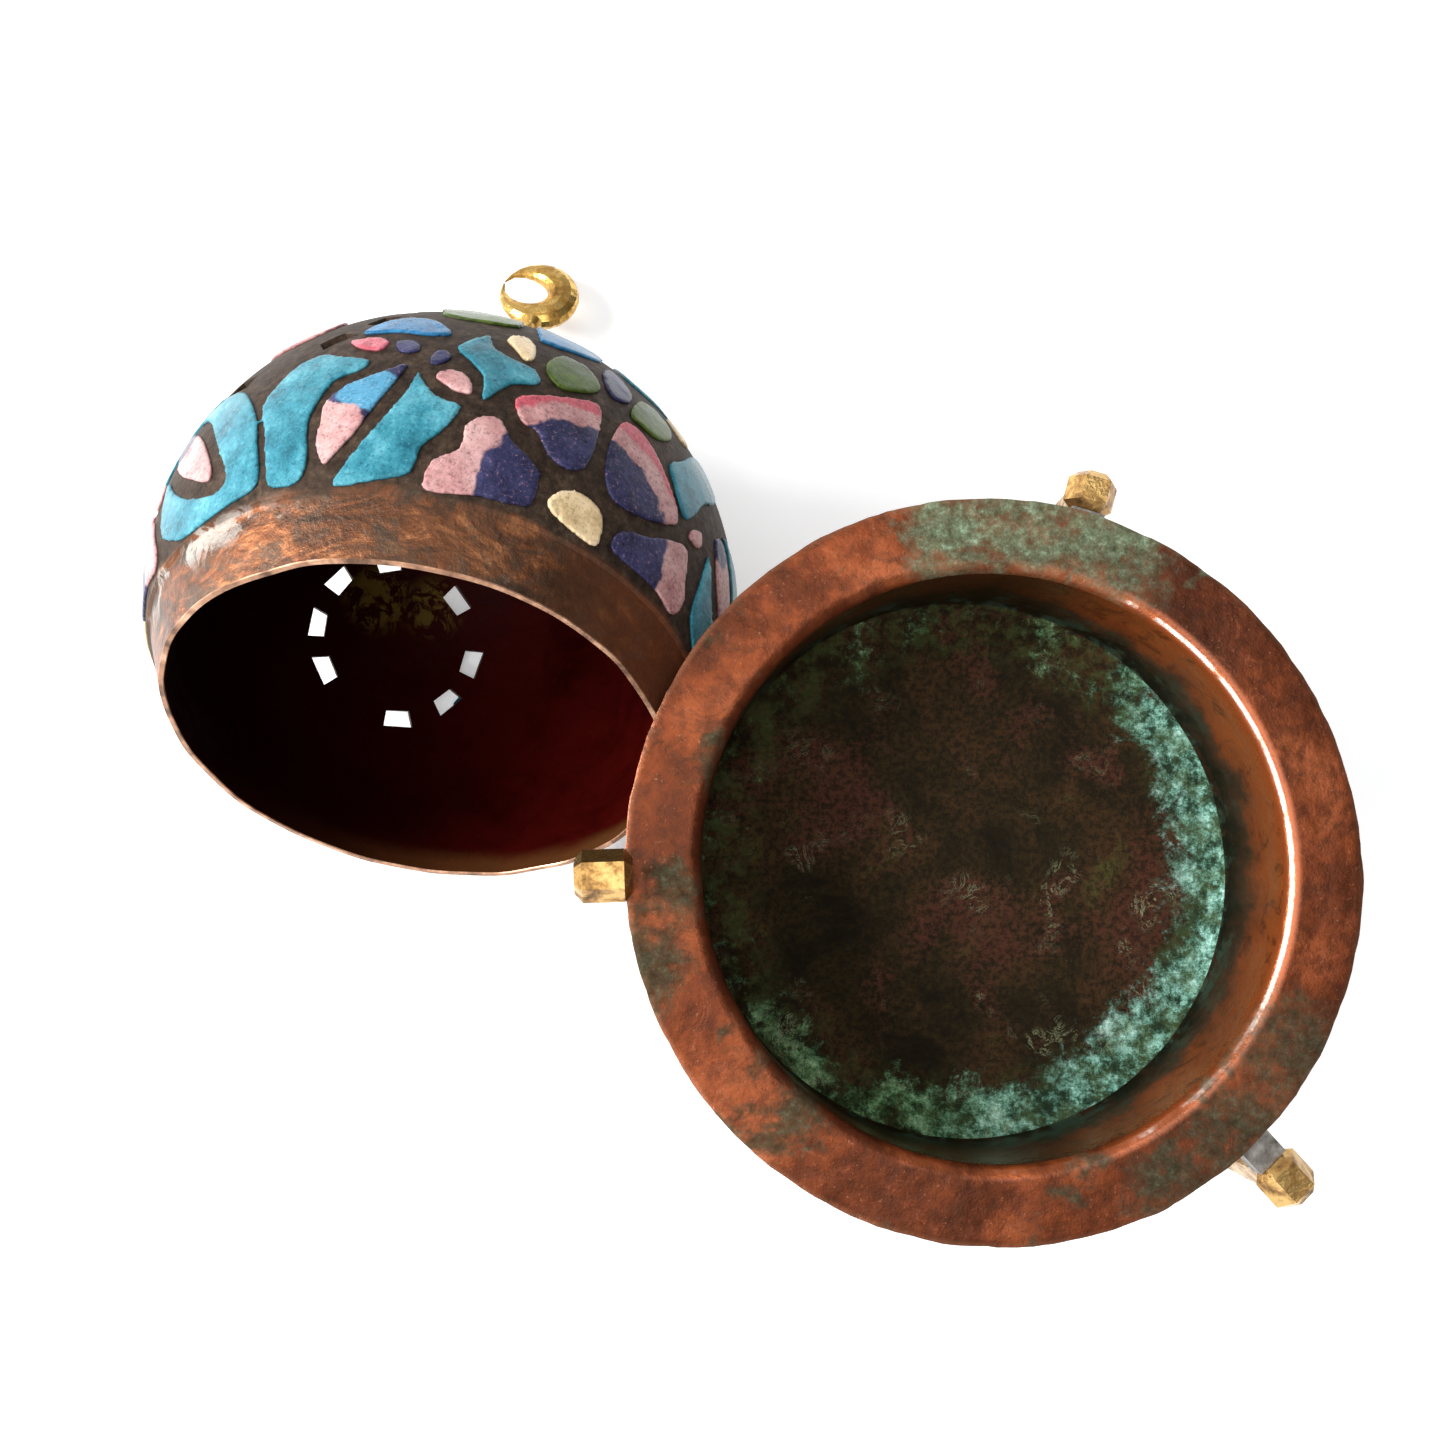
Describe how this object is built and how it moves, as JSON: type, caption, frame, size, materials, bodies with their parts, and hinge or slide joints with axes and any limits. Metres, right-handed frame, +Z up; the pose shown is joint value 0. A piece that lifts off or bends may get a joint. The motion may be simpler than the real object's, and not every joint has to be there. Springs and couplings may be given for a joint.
{
  "type": "incense burner",
  "caption": "Copper incense burner: wide-flanged pan on three brass legs, with a pierced, enamelled dome lid and brass crescent finial lying beside it.",
  "frame": {"origin": "centre of the pan's floor, on its upper face", "axes": "+Z up, square to the pan's floor and flange; -X towards the lid that lies beside the pan; +Y towards the side that the lid's crown points to"},
  "size_m": [0.2039, 0.192, 0.1039],
  "materials": {
    "pan_copper": "hammered copper, brown patina with verdigris",
    "lid_copper": "oxidised copper",
    "leg_brass": "worn cast brass",
    "finial_brass": "polished brass",
    "tinned_bar": "tinned, dull grey",
    "turquoise_enamel": "opaque enamel, speckled gloss",
    "light_blue_enamel": "opaque enamel, speckled gloss",
    "green_enamel": "opaque enamel, speckled gloss",
    "cobalt_enamel": "opaque enamel, speckled gloss",
    "pink_enamel": "opaque enamel, speckled gloss",
    "rose_enamel": "opaque enamel, speckled gloss",
    "ivory_enamel": "opaque enamel, speckled gloss",
    "petals_enamel": "opaque enamel, pink running into cobalt",
    "leaves_enamel": "opaque enamel, pink running into blue"
  },
  "bodies": {
    "pan_stand": {"pan": "pan_copper", "arm_back": "tinned_bar", "knee_back": "leg_brass", "leg_back": "leg_brass", "arm_left": "tinned_bar", "knee_left": "leg_brass", "leg_left": "leg_brass", "arm_front": "tinned_bar", "knee_front": "leg_brass", "leg_front": "leg_brass"},
    "lid": {"lid_shell": "lid_copper", "enamel_turquoise": "turquoise_enamel", "enamel_light_blue": "light_blue_enamel", "enamel_green": "green_enamel", "enamel_cobalt": "cobalt_enamel", "enamel_pink": "pink_enamel", "enamel_rose": "rose_enamel", "enamel_ivory": "ivory_enamel", "enamel_petals": "petals_enamel", "enamel_leaves": "leaves_enamel", "finial_stem": "finial_brass", "finial_washer": "lid_copper", "finial_crescent": "finial_brass"}
  },
  "joints": [
    {"name": "lid_slide", "type": "slide", "parent": "pan_stand", "child": "lid", "axis": [-0.9063, 0.4226, 0], "range_m": [0, 0.08]}
  ]
}
